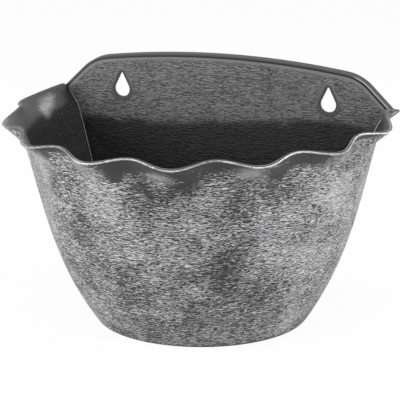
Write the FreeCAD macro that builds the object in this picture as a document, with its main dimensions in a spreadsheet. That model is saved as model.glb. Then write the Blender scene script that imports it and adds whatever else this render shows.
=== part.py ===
import FreeCAD, Part
import math
import os
import Sketcher

Vector = FreeCAD.Vector

doc = FreeCAD.newDocument("WallPlanter")
sheet = doc.addObject("Spreadsheet::Sheet", "Sizes")

# Every driving size, in millimetres, degrees or plain shares.
# y = 0 is the front face of the back plate, the wall lies at +y, and z = 0 is the ground.
driving_sizes = [
    # the bowl's body, measured outside and without its flared rim
    ("body_height", 164.0),
    ("base_half_width", 82.5),
    ("top_half_width", 140.0),
    ("base_depth", 135.9),
    ("top_depth", 210.6),
    ("widest_ahead", 52.8),
    ("side_narrowing", 6.9),
    ("width_belly", 0.52),
    ("depth_belly", 0.58),
    ("belly_lean", 0.39),
    ("bowl_wall", 2.5),
    # its rim
    ("flare_height", 20.0),
    ("flare_reach", 7.4),
    ("flare_bend", 0.25),
    ("ruffle_reach", 4.95),
    ("ruffle_lift", 2.5),
    ("ruffle_pitch", 61.6),
    ("ruffle_stretch", 0.0052),
    ("rim_end_length", 26.0),
    ("rim_end_waves", 0.2),
    # its base
    ("floor_thickness", 4.0),
    ("foot_width", 9.0),
    ("foot_lift", 1.5),
    ("drain_radius", 4.0),
    ("drain_spacing", 44.0),
    ("drain_ahead", 62.0),
    # the back plate
    ("flange_depth", 9.0),
    ("plate_wall", 2.5),
    ("plate_edge_round", 2.0),
    ("bond_gap", 0.3),
    ("ear_rise", 0.4),
    ("shoulder_angle", 45.0),
    ("shoulder_radius", 36.0),
    ("crown_rise", 33.6),
    ("crown_radius", 712.0),
    ("rib_thickness", 2.0),
    ("rib_half_spacing", 44.0),
    ("rib_height", 104.0),
    # its two hanging holes
    ("hole_radius", 6.5),
    ("hole_tip_radius", 0.9),
    ("hole_tip_rise", 12.9),
    ("hole_half_spacing", 86.5),
    ("hole_rise", 0.7),
    ("border_width", 3.2),
    ("border_rise", 0.8),
]
for row, (alias, value) in enumerate(driving_sizes, 1):
    sheet.set(f"A{row}", alias)
    sheet.set(f"B{row}", str(value))
    sheet.setAlias(f"B{row}", alias)
doc.recompute()


cell_values = {alias: float(sheet.get(alias)) for alias, value in driving_sizes}


def size(alias):
    return cell_values[alias]


body_height = size("body_height")
widest_ahead = size("widest_ahead")
flange_depth = size("flange_depth")
bowl_wall = size("bowl_wall")
plate_wall = size("plate_wall")
bond_gap = size("bond_gap")
floor_thickness = size("floor_thickness")

front_stations = 46     # grid steps from the middle of the front to the widest point
side_stations = 12      # grid steps from the widest point back to the wall
wall_rows = 12          # grid steps from the ground to the start of the flare
flare_rows = 8          # grid steps up the flare
side_points = 16        # points up each side of the back plate's outline
halving_count = 40      # halvings of each search for a place on a skin
share_step = 0.004      # the step, as a share of the height or of a station, that slopes are read over
overrun = 1.0           # how far a cutting tool runs past the face that it opens


def belly(share, fullness):
    # 0 at the ground and 1 at the rim, bulging in between
    bulge = share * (1 - share)
    return share + fullness * bulge + size("belly_lean") * bulge * (1 - 2 * share)


def plan_point(share, station):
    # The body's outline at one height. Stations run from -2 (wall, left) over -1 (widest, left)
    # and 0 (middle of the front) to 2 (wall, right).
    base_half_width = size("base_half_width")
    half_width = base_half_width + (size("top_half_width") - base_half_width) * belly(share, size("width_belly"))
    base_depth = size("base_depth")
    depth = base_depth + (size("top_depth") - base_depth) * belly(share, size("depth_belly"))
    side = math.copysign(1.0, station)
    if abs(station) <= 1:
        angle = station * math.pi / 2
        return Vector(half_width * math.sin(angle),
                      -widest_ahead - (depth - widest_ahead) * math.cos(angle), 0)
    back_travel = (abs(station) - 1) * (widest_ahead + flange_depth)
    narrowing = size("side_narrowing") * (back_travel / widest_ahead) ** 2
    return Vector(side * (half_width - narrowing), -widest_ahead + back_travel, 0)


def station_list():
    front = [step / front_stations for step in range(front_stations + 1)]
    sides = [1 + step / side_stations for step in range(1, side_stations + 1)]
    right = front + sides
    return [-station for station in reversed(right[1:])] + right


stations = station_list()

# How far each station lies from the middle of the front, along the rim's outline.
middle = len(stations) // 2
rim_travel = [0.0]
for station, following in zip(stations[middle:], stations[middle + 1:]):
    rim_travel.append(rim_travel[-1] + (plan_point(1, following) - plan_point(1, station)).Length)
right_stations = stations[middle:]


def ruffle_wave(station):
    # 1 where the rim is drawn in and up, -1 where it is flung out and down
    place = abs(station)
    index = 0
    while index < len(right_stations) - 2 and right_stations[index + 1] < place:
        index += 1
    share = (place - right_stations[index]) / (right_stations[index + 1] - right_stations[index])
    travel = rim_travel[index] + share * (rim_travel[index + 1] - rim_travel[index])
    waves = travel / size("ruffle_pitch")
    # the last stretch turns faster, so that the rim ends flung out at the wall
    into_end = max(1 - (rim_travel[-1] - travel) / size("rim_end_length"), 0)
    hurried = size("rim_end_waves") * into_end ** 2
    return math.cos(2 * math.pi * (waves - size("ruffle_stretch") * waves ** 3 + hurried))


def flare(share):
    # 0 below the flare, then a short bend into a straight cone that reaches 1 at the rim
    climb = (share - 1) * body_height / size("flare_height") + 1
    if climb <= 0:
        return 0.0
    bend = size("flare_bend")
    return (math.hypot(climb, bend) - bend) / (math.hypot(1, bend) - bend)


def outline_normal(share, station):
    # square to the outline in front, and straight to the side from the widest point back
    if abs(station) >= 1:
        return Vector(math.copysign(1.0, station), 0, 0)
    half_step = share_step / 2
    ahead = plan_point(share, station + half_step) - plan_point(share, station - half_step)
    return Vector(ahead.y, -ahead.x, 0).normalize()


def outer_point(share, station):
    wave = ruffle_wave(station)
    opening = flare(share)
    reach = opening * (size("flare_reach") - size("ruffle_reach") * wave)
    point = plan_point(share, station) + outline_normal(share, station) * reach
    point.z = share * body_height + opening * size("ruffle_lift") * wave
    return point


def inner_point(share, station):
    # one wall thickness inside the outer skin and square to it, but towards the wall the
    # direction turns into the section's own plane, so that both skins end there together
    upward = outer_point(share + share_step, station) - outer_point(max(share - share_step, 0), station)
    along = outer_point(share, station + share_step) - outer_point(share, station - share_step)
    outward = along.cross(upward)
    outward.y *= min(2 - abs(station), 1)
    outward.normalize()
    return outer_point(share, station) - outward * bowl_wall


def inner_share_at(height, station):
    low = 0.0
    high = 1 + size("flare_height") / body_height
    for halving in range(halving_count):
        share = (low + high) / 2
        if inner_point(share, station).z < height:
            low = share
        else:
            high = share
    return (low + high) / 2


flare_start = 1 - size("flare_height") / body_height


def row_shares(lowest):
    # finer steps in the flare than in the wall below it
    wall = [lowest + (flare_start - lowest) * step / wall_rows for step in range(wall_rows)]
    rim = [flare_start + (1 - flare_start) * step / flare_rows for step in range(flare_rows + 1)]
    return wall + rim


def curve_through(points, places):
    curve = Part.BSplineCurve()
    curve.interpolate(Points=points, Parameters=places)
    return curve


signed_travel = [-travel for travel in reversed(rim_travel[1:])] + rim_travel


def skin(columns):
    # a smooth surface through a grid of points: first along each row, then up through the rows' poles
    row_count = len(columns[0])
    rows = [curve_through([column[index] for column in columns], signed_travel) for index in range(row_count)]
    steps = [float(index) for index in range(row_count)]
    upward = [curve_through(list(poles), steps) for poles in zip(*(row.getPoles() for row in rows))]
    surface = Part.BSplineSurface()
    surface.buildFromPolesMultsKnots([curve.getPoles() for curve in upward],
                                     rows[0].getMultiplicities(), upward[0].getMultiplicities(),
                                     rows[0].getKnots(), upward[0].getKnots(),
                                     False, False, rows[0].Degree, upward[0].Degree)
    return surface


def bowl_solid():
    outer_rows = row_shares(0)
    outer = skin([[outer_point(share, station) for share in outer_rows] for station in stations])
    inner_grid = []
    for station in stations:
        lowest = inner_share_at(floor_thickness, station)
        column = [inner_point(share, station) for share in row_shares(lowest)]
        column[0].z = floor_thickness
        inner_grid.append(column)
    inner = skin(inner_grid)

    first_u, last_u, first_v, last_v = outer.bounds()
    outer_rim = outer.vIso(last_v).toShape()
    outer_base = outer.vIso(first_v).toShape()
    inner_rim = inner.vIso(last_v).toShape()
    inner_base = inner.vIso(first_v).toShape()
    lip = Part.makeRuledSurface(outer_rim, inner_rim)

    left_outer = outer.uIso(first_u).toShape()
    right_outer = outer.uIso(last_u).toShape()
    left_inner = inner.uIso(first_u).toShape()
    right_inner = inner.uIso(last_u).toShape()

    def line_between(edge, other, at_top):
        index = -1 if at_top else 0
        return Part.makeLine(top_or_bottom(edge, index), top_or_bottom(other, index))

    def top_or_bottom(edge, index):
        ends = sorted((vertex.Point for vertex in edge.Vertexes), key=lambda point: point.z)
        return ends[index]

    ground_line = line_between(left_outer, right_outer, False)
    floor_line = line_between(left_inner, right_inner, False)
    back_edges = [left_outer, ground_line, right_outer, line_between(right_outer, right_inner, True),
                  right_inner, floor_line, left_inner, line_between(left_inner, left_outer, True)]
    back = Part.Face(Part.Wire(Part.__sortEdges__(back_edges)))
    ground = Part.Face(Part.Wire(Part.__sortEdges__([outer_base, ground_line])))
    floor = Part.Face(Part.Wire(Part.__sortEdges__([inner_base, floor_line])))

    sewn = Part.makeShell([outer.toShape(), inner.toShape(), lip, back, ground, floor])
    sewn.sewShape()
    solid = Part.makeSolid(sewn)
    if solid.Volume < 0:
        solid.reverse()
    return solid


def side_x(height, y):
    # half width of the bowl's inside at one height and one distance behind the plate's face
    station = 1 + (y + widest_ahead) / (flange_depth + widest_ahead)
    for correction in range(3):
        point = inner_point(inner_share_at(height, station), station)
        station += (y - point.y) / (flange_depth + widest_ahead)
    return point.x


def plate_side_x(height, y, inset):
    # the plate's half width: clear of the bowl by the bond gap, and drawn in square to the edge
    step = 1.0
    lean = (side_x(height + step / 2, y) - side_x(height - step / 2, y)) / step
    return side_x(height, y) - (bond_gap + inset) * math.hypot(1, lean)


def plate_outline(y, inset):
    slope = math.radians(size("shoulder_angle"))
    outward = Vector(math.sin(slope), 0, math.cos(slope))
    upward = Vector(-math.cos(slope), 0, math.sin(slope))

    # the shoulder's line runs up from the ear, where the plate leaves the bowl
    ear_height = body_height + size("ear_rise")
    ear = Vector(plate_side_x(ear_height, 0, 0), 0, ear_height)
    line_offset = ear.dot(outward) - inset
    low = ear_height - size("flare_height") / 2
    high = ear_height + size("flare_height") / 2
    for halving in range(halving_count):
        height = (low + high) / 2
        corner = Vector(plate_side_x(height, y, inset), 0, height)
        if corner.dot(outward) < line_offset:
            low = height
        else:
            high = height
    corner.y = y

    # an arc joins that line to the crown's long arc
    crown_radius = size("crown_radius") - inset
    corner_radius = size("shoulder_radius") - inset
    crown_centre = Vector(0, 0, body_height + size("crown_rise") - size("crown_radius"))
    foot = outward * (line_offset - corner_radius)
    across = upward.dot(foot - crown_centre)
    excess = (foot - crown_centre).Length ** 2 - (crown_radius - corner_radius) ** 2
    arc_centre = foot + upward * (math.sqrt(across ** 2 - excess) - across)
    arc_start = arc_centre + outward * corner_radius
    spread = (arc_centre - crown_centre).normalize()
    arc_end = crown_centre + spread * crown_radius
    arc_middle = arc_centre + (outward + spread).normalize() * corner_radius
    crown_top = crown_centre + Vector(0, 0, crown_radius)
    for point in (arc_start, arc_middle, arc_end, crown_top):
        point.y = y

    lowest = floor_thickness + bond_gap + inset
    side = []
    for step in range(side_points + 1):
        height = lowest + (corner.z - lowest) * math.sin(math.pi / 2 * step / side_points)
        side.append(Vector(plate_side_x(height, y, inset), y, height))
    side[-1] = corner

    def mirrored(point):
        return Vector(-point.x, point.y, point.z)

    right_side = Part.BSplineCurve()
    right_side.interpolate(side)
    left_side = Part.BSplineCurve()
    left_side.interpolate([mirrored(point) for point in reversed(side)])
    edges = [
        Part.makeLine(mirrored(side[0]), side[0]),
        right_side.toShape(),
        Part.makeLine(corner, arc_start),
        Part.Arc(arc_start, arc_middle, arc_end).toShape(),
        Part.Arc(arc_end, crown_top, mirrored(arc_end)).toShape(),
        Part.Arc(mirrored(arc_end), mirrored(arc_middle), mirrored(arc_start)).toShape(),
        Part.makeLine(mirrored(arc_start), mirrored(corner)),
        left_side.toShape(),
    ]
    return Part.Wire(edges)


def plate_block():
    # the rounded front edge is stepped through its quarter turn, then the flange runs to the wall
    edge_round = size("plate_edge_round")
    sections = []
    for angle in (0, 30, 60, 90):
        turn = math.radians(angle)
        sections.append(plate_outline(edge_round * (1 - math.cos(turn)), edge_round * (1 - math.sin(turn))))
    sections.append(plate_outline(flange_depth, 0))
    return Part.makeLoft(sections, True, True)


def plate_hollow():
    # it runs past the wall side, so that the cut leaves the flange open there
    front = plate_outline(plate_wall, plate_wall)
    back = plate_outline(flange_depth, plate_wall)
    past = back.copy()
    past.translate(Vector(0, overrun, 0))
    return Part.makeLoft([front, back, past], True, True)


def foot_recess():
    # the base's outline drawn in by the foot's width all round, and raised into the floor
    inset = size("foot_width")
    reach = 1 - inset / (flange_depth + widest_ahead) / 2
    points = [plan_point(0, station * reach) - outline_normal(0, station * reach) * inset for station in stations]
    outline = Part.BSplineCurve()
    outline.interpolate(points)
    face = Part.Face(Part.Wire([outline.toShape(), Part.makeLine(points[-1], points[0])]))
    face.translate(Vector(0, 0, -overrun))
    return face.extrude(Vector(0, 0, overrun + size("foot_lift")))


def add_solid(name, shape):
    feature = doc.addObject("Part::Feature", name)
    feature.Shape = shape
    return feature


def add_box(name, sizes_and_places):
    box = doc.addObject("Part::Box", name)
    for prop, expression in sizes_and_places.items():
        box.setExpression(prop, expression)
    return box


def add_union(name, pieces):
    union = doc.addObject("Part::MultiFuse", name)
    union.Shapes = pieces
    return union


def add_cut(name, base, tool):
    cut = doc.addObject("Part::Cut", name)
    cut.Base = base
    cut.Tool = tool
    return cut


def teardrop_sketch(name, growth, side):
    # a round bottom and a small round tip, joined by two tangent lines
    sketch = doc.addObject("Sketcher::SketchObject", name)
    sketch.Placement = FreeCAD.Placement(Vector(0, 0, 0), FreeCAD.Rotation(Vector(1, 0, 0), 90))
    sketch.setExpression("Placement.Base.x", f"{side} * Sizes.hole_half_spacing")
    sketch.setExpression("Placement.Base.z", "Sizes.body_height + Sizes.hole_rise")
    radius = size("hole_radius") + growth
    tip_radius = size("hole_tip_radius") + growth
    rise = size("hole_tip_rise")
    lean = math.asin((radius - tip_radius) / rise)
    middle_point = Vector(0, 0, 0)
    tip_point = Vector(0, rise, 0)
    axis = Vector(0, 0, 1)
    side_right = Vector(math.cos(lean), math.sin(lean), 0)
    side_left = Vector(-side_right.x, side_right.y, 0)
    round_bottom = Part.Circle(middle_point, axis, radius)
    round_tip = Part.Circle(tip_point, axis, tip_radius)
    sketch.addGeometry([
        Part.ArcOfCircle(round_bottom, math.pi - lean, 2 * math.pi + lean),
        Part.ArcOfCircle(round_tip, lean, math.pi - lean),
        Part.LineSegment(middle_point + side_right * radius, tip_point + side_right * tip_radius),
        Part.LineSegment(tip_point + side_left * tip_radius, middle_point + side_left * radius),
    ], False)
    start_index = 1
    end_index = 2
    centre_index = 3
    origin_index = -1
    vertical_axis_index = -2
    sketch.addConstraint([
        Sketcher.Constraint("Tangent", 0, end_index, 2, start_index),
        Sketcher.Constraint("Tangent", 2, end_index, 1, start_index),
        Sketcher.Constraint("Tangent", 1, end_index, 3, start_index),
        Sketcher.Constraint("Tangent", 3, end_index, 0, start_index),
        Sketcher.Constraint("Coincident", 0, centre_index, origin_index, start_index),
        Sketcher.Constraint("PointOnObject", 1, centre_index, vertical_axis_index),
        Sketcher.Constraint("Radius", 0, radius),
        Sketcher.Constraint("Radius", 1, tip_radius),
        Sketcher.Constraint("DistanceY", origin_index, start_index, 1, centre_index, rise),
    ])
    grown_by = " + Sizes.border_width" if growth else ""
    sketch.setExpression("Constraints[6]", "Sizes.hole_radius" + grown_by)
    sketch.setExpression("Constraints[7]", "Sizes.hole_tip_radius" + grown_by)
    sketch.setExpression("Constraints[8]", "Sizes.hole_tip_rise")
    return sketch


def add_extrusion(name, sketch, ahead, behind):
    # the sketch plane is the plate's front face, and its normal points away from the wall
    extrusion = doc.addObject("Part::Extrusion", name)
    extrusion.Base = sketch
    extrusion.DirMode = "Normal"
    extrusion.Solid = True
    extrusion.setExpression("LengthFwd", ahead)
    extrusion.setExpression("LengthRev", behind)
    return extrusion


# Bowl: the ruffled shell, then the hollow under its base and three drain holes.
bowl_shell = add_solid("bowl_shell", bowl_solid())
foot_hollow = add_solid("foot_hollow", foot_recess())
drains = []
for index in (-1, 0, 1):
    drain = doc.addObject("Part::Cylinder", f"drain_{index + 2}")
    drain.setExpression("Radius", "Sizes.drain_radius")
    drain.setExpression("Height", "2 * Sizes.floor_thickness")
    drain.setExpression("Placement.Base.x", f"{index} * Sizes.drain_spacing")
    drain.setExpression("Placement.Base.y", "-Sizes.drain_ahead")
    drain.setExpression("Placement.Base.z", "-Sizes.floor_thickness / 2")
    drains.append(drain)
bowl = add_cut("bowl", bowl_shell, add_union("base_cuts", [foot_hollow] + drains))

# Back plate: a tray with its hollow side to the wall, ribs in the hollow and two bordered holes.
plate_outside = add_solid("plate_outside", plate_block())
plate_tray = add_cut("plate_tray", plate_outside, add_solid("plate_inside", plate_hollow()))
rib_common = {"Height": "2 * Sizes.body_height", "Width": "Sizes.flange_depth - Sizes.plate_wall / 2",
              "Placement.Base.y": "Sizes.plate_wall / 2"}
ribs = []
for side, name in ((-1, "rib_left"), (1, "rib_right")):
    ribs.append(add_box(name, {**rib_common, "Length": "Sizes.rib_thickness",
                               "Placement.Base.x": f"{side} * Sizes.rib_half_spacing - Sizes.rib_thickness / 2"}))
ribs.append(add_box("rib_across", {**rib_common, "Length": "2 * Sizes.top_half_width",
                                   "Height": "Sizes.rib_thickness",
                                   "Placement.Base.x": "-Sizes.top_half_width",
                                   "Placement.Base.z": "Sizes.rib_height"}))
rib_grid = doc.addObject("Part::Common", "rib_grid")
rib_grid.Base = add_union("ribs", ribs)
rib_grid.Tool = plate_outside
borders = []
holes = []
for side, name in ((-1, "left"), (1, "right")):
    border = teardrop_sketch(f"border_outline_{name}", size("border_width"), side)
    borders.append(add_extrusion(f"border_{name}", border, "Sizes.border_rise", "Sizes.plate_wall / 2"))
    hole = teardrop_sketch(f"hole_outline_{name}", 0, side)
    holes.append(add_extrusion(f"hole_{name}", hole, "2 * Sizes.border_rise", "2 * Sizes.plate_wall"))
plate_solid = add_union("plate_solid", [plate_tray, rib_grid] + borders)
back_plate = add_cut("back_plate", plate_solid, add_union("hanging_holes", holes))

doc.recompute()


def check_states():
    for item in doc.Objects:
        if "Invalid" in item.State or "Error" in item.State:
            raise ValueError(f"{item.Label} did not recompute: {item.State}")


# The frame's origin is on the ground, under the middle of the whole planter.
check_states()
box = bowl.Shape.optimalBoundingBox(True, False)
to_origin = Vector(0, -(box.YMin + box.YMax) / 2, 0)
nodes = [bowl, back_plate]
for node in nodes:
    node.Label = node.Name
    node.Placement = FreeCAD.Placement(to_origin, FreeCAD.Rotation())
doc.recompute()
check_states()

os.makedirs("parts", exist_ok=True)
for node in nodes:
    shape = node.Shape
    if shape.isNull() or not shape.isValid():
        raise ValueError(f"{node.Label} is not a valid shape")
    shape.exportStep(f"parts/{node.Label}.step")
    reach = shape.optimalBoundingBox(True, False)
    print(node.Label, "solids", len(shape.Solids), "volume", round(shape.Volume), "x", round(reach.XMin, 2),
          round(reach.XMax, 2), "y", round(reach.YMin, 2), round(reach.YMax, 2), "z", round(reach.ZMin, 2),
          round(reach.ZMax, 2))
print("moved to the origin by", to_origin)
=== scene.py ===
import math

import bmesh
import bpy
import numpy as np
from mathutils import Matrix, Vector
from mathutils.geometry import tessellate_polygon


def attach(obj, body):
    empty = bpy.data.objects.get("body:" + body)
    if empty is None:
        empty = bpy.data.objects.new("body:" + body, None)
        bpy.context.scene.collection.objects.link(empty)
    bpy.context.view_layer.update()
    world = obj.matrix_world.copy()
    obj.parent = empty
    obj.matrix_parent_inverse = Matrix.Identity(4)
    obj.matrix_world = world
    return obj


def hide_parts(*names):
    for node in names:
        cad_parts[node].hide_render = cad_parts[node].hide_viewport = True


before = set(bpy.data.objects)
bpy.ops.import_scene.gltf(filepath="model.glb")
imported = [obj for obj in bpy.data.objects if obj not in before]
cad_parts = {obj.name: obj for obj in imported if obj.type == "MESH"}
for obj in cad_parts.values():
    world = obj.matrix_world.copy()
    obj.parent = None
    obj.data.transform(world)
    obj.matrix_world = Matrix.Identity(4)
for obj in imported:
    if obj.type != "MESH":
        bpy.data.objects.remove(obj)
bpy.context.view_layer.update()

mm = 0.001
plateFace = 0.1052012461  # y of the back plate's front face; the wall lies 9 mm behind it

# shared helpers: grids, flat patches and meshes


def unit(vectors):
    # every vector divided by its own length
    return vectors / np.maximum(np.linalg.norm(vectors, axis=-1, keepdims=True), 1e-12)


def smoothStep(low, high, values):
    # 0 below low, 1 above high, and an S curve in between
    share = np.clip((np.asarray(values, float) - low) / (high - low), 0, 1)
    return share * share * (3 - 2 * share)


def cornerRows(before, corner, after, steps):
    # a rounded corner: the parabola that leaves `before` towards `corner` and arrives at `after`
    return [(1 - w) ** 2 * before + 2 * w * (1 - w) * corner + w ** 2 * after
            for w in np.linspace(0, 1, steps + 1)]


def gridPatch(points, closed=False):
    # points[row, column] joined into quads; closed also joins the last column to the first
    rows, columns = points.shape[:2]
    index = np.arange(rows * columns).reshape(rows, columns)
    following = np.roll(index, -1, axis=1) if closed else index[:, 1:]
    index = index if closed else index[:, :-1]
    quads = np.stack([index[:-1], following[:-1], following[1:], index[1:]], -1).reshape(-1, 4)
    return points.reshape(-1, 3), quads.tolist()


def flatPatch(loops, outward):
    # one flat face with holes, cut into triangles that face outward
    points = np.concatenate(loops)
    triangles = np.array(tessellate_polygon([[Vector(p) for p in loop] for loop in loops]))
    a, b, c = points[triangles[:, 0]], points[triangles[:, 1]], points[triangles[:, 2]]
    facing = np.cross(b - a, c - a) @ np.array(outward, float)
    triangles[facing < 0] = triangles[facing < 0][:, ::-1]
    return points, triangles.tolist()


def meshFrom(name, patches, zones=None, sharpAngle=32, mergeWithin=2e-6, thinnest=1e-7):
    # all patches in one mesh, their doubles merged; a patch is its points, its faces and, where it
    # isn't the first, its material's number; zones gives each patch's values by name
    points = np.concatenate([patch[0] for patch in patches])
    starts = np.cumsum([0] + [len(patch[0]) for patch in patches])
    faces = [tuple(i + start for i in face)
             for patch, start in zip(patches, starts) for face in patch[1]]
    mesh = bpy.data.meshes.new(name)
    mesh.from_pydata(points.tolist(), [], faces)
    slots = [patch[2] if len(patch) > 2 else 0 for patch in patches]
    faceSlots = np.repeat(slots, [len(patch[1]) for patch in patches])
    mesh.polygons.foreach_set("material_index", faceSlots.tolist())
    for zoneName, values in (zones or {}).items():
        layer = mesh.attributes.new(zoneName, "FLOAT", "POINT")
        layer.data.foreach_set("value", np.concatenate(values).astype(np.float32))
    work = bmesh.new()
    work.from_mesh(mesh)
    bmesh.ops.remove_doubles(work, verts=work.verts, dist=mergeWithin)
    bmesh.ops.dissolve_degenerate(work, edges=work.edges, dist=thinnest)
    bmesh.ops.recalc_face_normals(work, faces=work.faces)
    openEdges = sum(1 for edge in work.edges if not edge.is_manifold)
    work.to_mesh(mesh)
    work.free()
    mesh.polygons.foreach_set("use_smooth", [True] * len(mesh.polygons))
    mesh.set_sharp_from_angle(angle=math.radians(sharpAngle))
    piece = bpy.data.objects.new(name, mesh)
    bpy.context.scene.collection.objects.link(piece)
    print(name, "faces", len(mesh.polygons), "open edges", openEdges)
    return piece


# the bowl's shape: half-round plan, bulged wall, flared and ruffled rim

bowl = dict(
    bodyHeight=164 * mm, baseHalfWidth=82.5 * mm, topHalfWidth=140 * mm, baseDepth=135.9 * mm,
    topDepth=210.6 * mm, widestAhead=52.8 * mm, sideNarrowing=6.9 * mm, widthBelly=0.52,
    depthBelly=0.58, bellyLean=0.39, wall=2.5 * mm, flareHeight=20 * mm, flareReach=7.4 * mm,
    flareBend=0.25, ruffleReach=4.95 * mm, ruffleLift=2.5 * mm, rufflePitch=61.6 * mm,
    ruffleStretch=0.0052, rimEndLength=26 * mm, rimEndWaves=0.2, floorThickness=4 * mm,
    floorRound=2 * mm, footWidth=9 * mm, footLift=1.5 * mm, drainRadius=4 * mm,
    drainSpacing=44 * mm, drainAhead=62 * mm, flangeDepth=9 * mm, lipRound=1.15 * mm,
    footRound=1.2 * mm, wobble=0.22 * mm, wobbleFromFoot=(2 * mm, 14 * mm),
    wobbleFromRim=(34 * mm, 18 * mm), wobbleFromWall=0.1, frontColumns=230, sideColumns=36,
    wallRows=84, flareRows=22, insideRows=34, roundRows=5, lipRows=6,
)


def belly(share, fullness):
    # 0 at the ground, 1 at the rim, with a bulge that leans towards the lower half
    bulge = share * (1 - share)
    return share + fullness * bulge + bowl["bellyLean"] * bulge * (1 - 2 * share)


def planOutline(share, station):
    # half an ellipse in front (stations -1 to 1), then sides that narrow by the square of their run
    share, station = np.broadcast_arrays(np.asarray(share, float), np.asarray(station, float))
    base, ahead = bowl["baseHalfWidth"], bowl["widestAhead"]
    halfWidth = base + (bowl["topHalfWidth"] - base) * belly(share, bowl["widthBelly"])
    baseDepth, topDepth = bowl["baseDepth"], bowl["topDepth"]
    depth = baseDepth + (topDepth - baseDepth) * belly(share, bowl["depthBelly"])
    angle = station * np.pi / 2
    run = (np.abs(station) - 1) * (ahead + bowl["flangeDepth"])
    inFront = np.abs(station) <= 1
    sideX = np.sign(station) * (halfWidth - bowl["sideNarrowing"] * (run / ahead) ** 2)
    x = np.where(inFront, halfWidth * np.sin(angle), sideX)
    y = np.where(inFront, -ahead - (depth - ahead) * np.cos(angle), -ahead + run)
    return x, y + plateFace


def outlineNormal(share, station, step=0.002):
    # square to the outline in front, straight to the side behind the widest place
    x0, y0 = planOutline(share, station - step)
    x1, y1 = planOutline(share, station + step)
    length = np.hypot(x1 - x0, y1 - y0)
    behind = np.abs(station) >= 1
    return (np.where(behind, np.sign(station), (y1 - y0) / length),
            np.where(behind, 0, (x0 - x1) / length))


tableStations = np.linspace(0, 2, 4001)  # 0 mid-front, 1 at the widest place, 2 at the wall
tableX, tableY = planOutline(1.0, tableStations)
tableTravel = np.concatenate([[0], np.cumsum(np.hypot(np.diff(tableX), np.diff(tableY)))])


def rimTravel(station):
    # length along the rim from the middle of the front
    return np.interp(np.abs(station), tableStations, tableTravel)


def ruffleWave(station):
    # a cosine along the rim, 1 where it is drawn in and up, -1 where it is flung out and down;
    # the cube of the wave count draws the waves out a little towards the wall
    travel = rimTravel(station)
    waves = travel / bowl["rufflePitch"]
    # the last stretch before the wall turns faster, by the square of the way into it
    intoEnd = np.maximum(1 - (tableTravel[-1] - travel) / bowl["rimEndLength"], 0)
    hurried = bowl["rimEndWaves"] * intoEnd ** 2
    return np.cos(2 * np.pi * (waves - bowl["ruffleStretch"] * waves ** 3 + hurried))


def flare(share):
    # 0 below the flare, then a hyperbola's bend into a straight cone that reaches 1 at the rim
    climb = (np.asarray(share, float) - 1) * bowl["bodyHeight"] / bowl["flareHeight"] + 1
    bend = bowl["flareBend"]
    bent = (np.hypot(climb, bend) - bend) / (math.hypot(1, bend) - bend)
    return np.where(climb <= 0, 0, bent)


def outerSkin(share, station):
    # the plan outline moved out by the flare's reach and up by its lift, along the ruffle's wave
    share, station = np.broadcast_arrays(np.asarray(share, float), np.asarray(station, float))
    x, y = planOutline(share, station)
    normalX, normalY = outlineNormal(share, station)
    wave = ruffleWave(station)
    reach = flare(share) * (bowl["flareReach"] - bowl["ruffleReach"] * wave)
    z = share * bowl["bodyHeight"] + flare(share) * bowl["ruffleLift"] * wave
    return np.stack([x + normalX * reach, y + normalY * reach, z], -1)


def skinNormal(share, station, step=0.004):
    # the cross product of two short steps, turned into the section's own plane towards the wall
    up = outerSkin(share + step, station) - outerSkin(np.maximum(share - step, 0), station)
    along = outerSkin(share, station + step) - outerSkin(share, station - step)
    normal = np.cross(along, up)
    normal[..., 1] *= np.minimum(2 - np.abs(station), 1)
    return unit(normal)


def innerSkin(share, station):
    # one wall thickness inside the outer skin
    share, station = np.broadcast_arrays(np.asarray(share, float), np.asarray(station, float))
    return outerSkin(share, station) - skinNormal(share, station) * bowl["wall"]


def innerShareAt(height, station, highest=1.15, halvings=26):
    # the share at which the inner skin has this height, by halving
    height, station = np.broadcast_arrays(np.asarray(height, float), np.asarray(station, float))
    low, high = np.zeros(height.shape), np.full(height.shape, highest)
    for halving in range(halvings):
        share = (low + high) / 2
        below = innerSkin(share, station)[..., 2] < height
        low, high = np.where(below, share, low), np.where(below, high, share)
    return (low + high) / 2


def ring(x, y, z, radius, count=56):
    # a circle of points at one height
    angle = np.linspace(0, 2 * np.pi, count, endpoint=False)
    return np.stack([x + radius * np.cos(angle), y + radius * np.sin(angle),
                     np.full(count, z)], -1)


front = np.linspace(0, 1, bowl["frontColumns"] + 1)
sides = 1 + np.linspace(0, 1, bowl["sideColumns"] + 1)[1:]
stations = np.concatenate([-sides[::-1], -front[::-1][:-1], front, sides])


# where the brush pressed harder (+) or lighter (-), together with painted light (+) and painted
# shade (-) for the lamps' broad reflections on the body: travel round the wall, height, half length
# and half height in mm, and strength
brushAndLightSwaths = [
    (-28, 124, 20, 20, 0.36), (-42, 146, 10, 8, 0.14), (12, 139, 17, 13, -0.34),
    (43, 148, 15, 9, -0.34), (28, 100, 28, 20, 0.20), (72, 78, 15, 42, -0.34),
    (112, 104, 18, 18, 0.28), (146, 72, 22, 24, 0.24), (168, 15, 26, 14, 0.30),
    (182, 117, 34, 28, 0.30), (-60, 98, 13, 38, -0.16), (80, 146, 17, 11, -0.20),
    (58, 131, 8, 11, 0.12), (20, 18, 50, 11, -0.14), (-62, 150, 14, 9, 0.10),
    (236, 90, 26, 60, 0.16), (80, 40, 17, 44, -0.12), (-52, 46, 15, 34, -0.10),
    (107, 138, 12, 9, -0.30), (184, 70, 34, 52, 0.09), (43, 142, 9, 6, -0.20),
    (-100, 128, 22, 26, 0.06), (20, 70, 24, 22, 0.05), (150, 20, 22, 16, 0.08),
]
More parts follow.
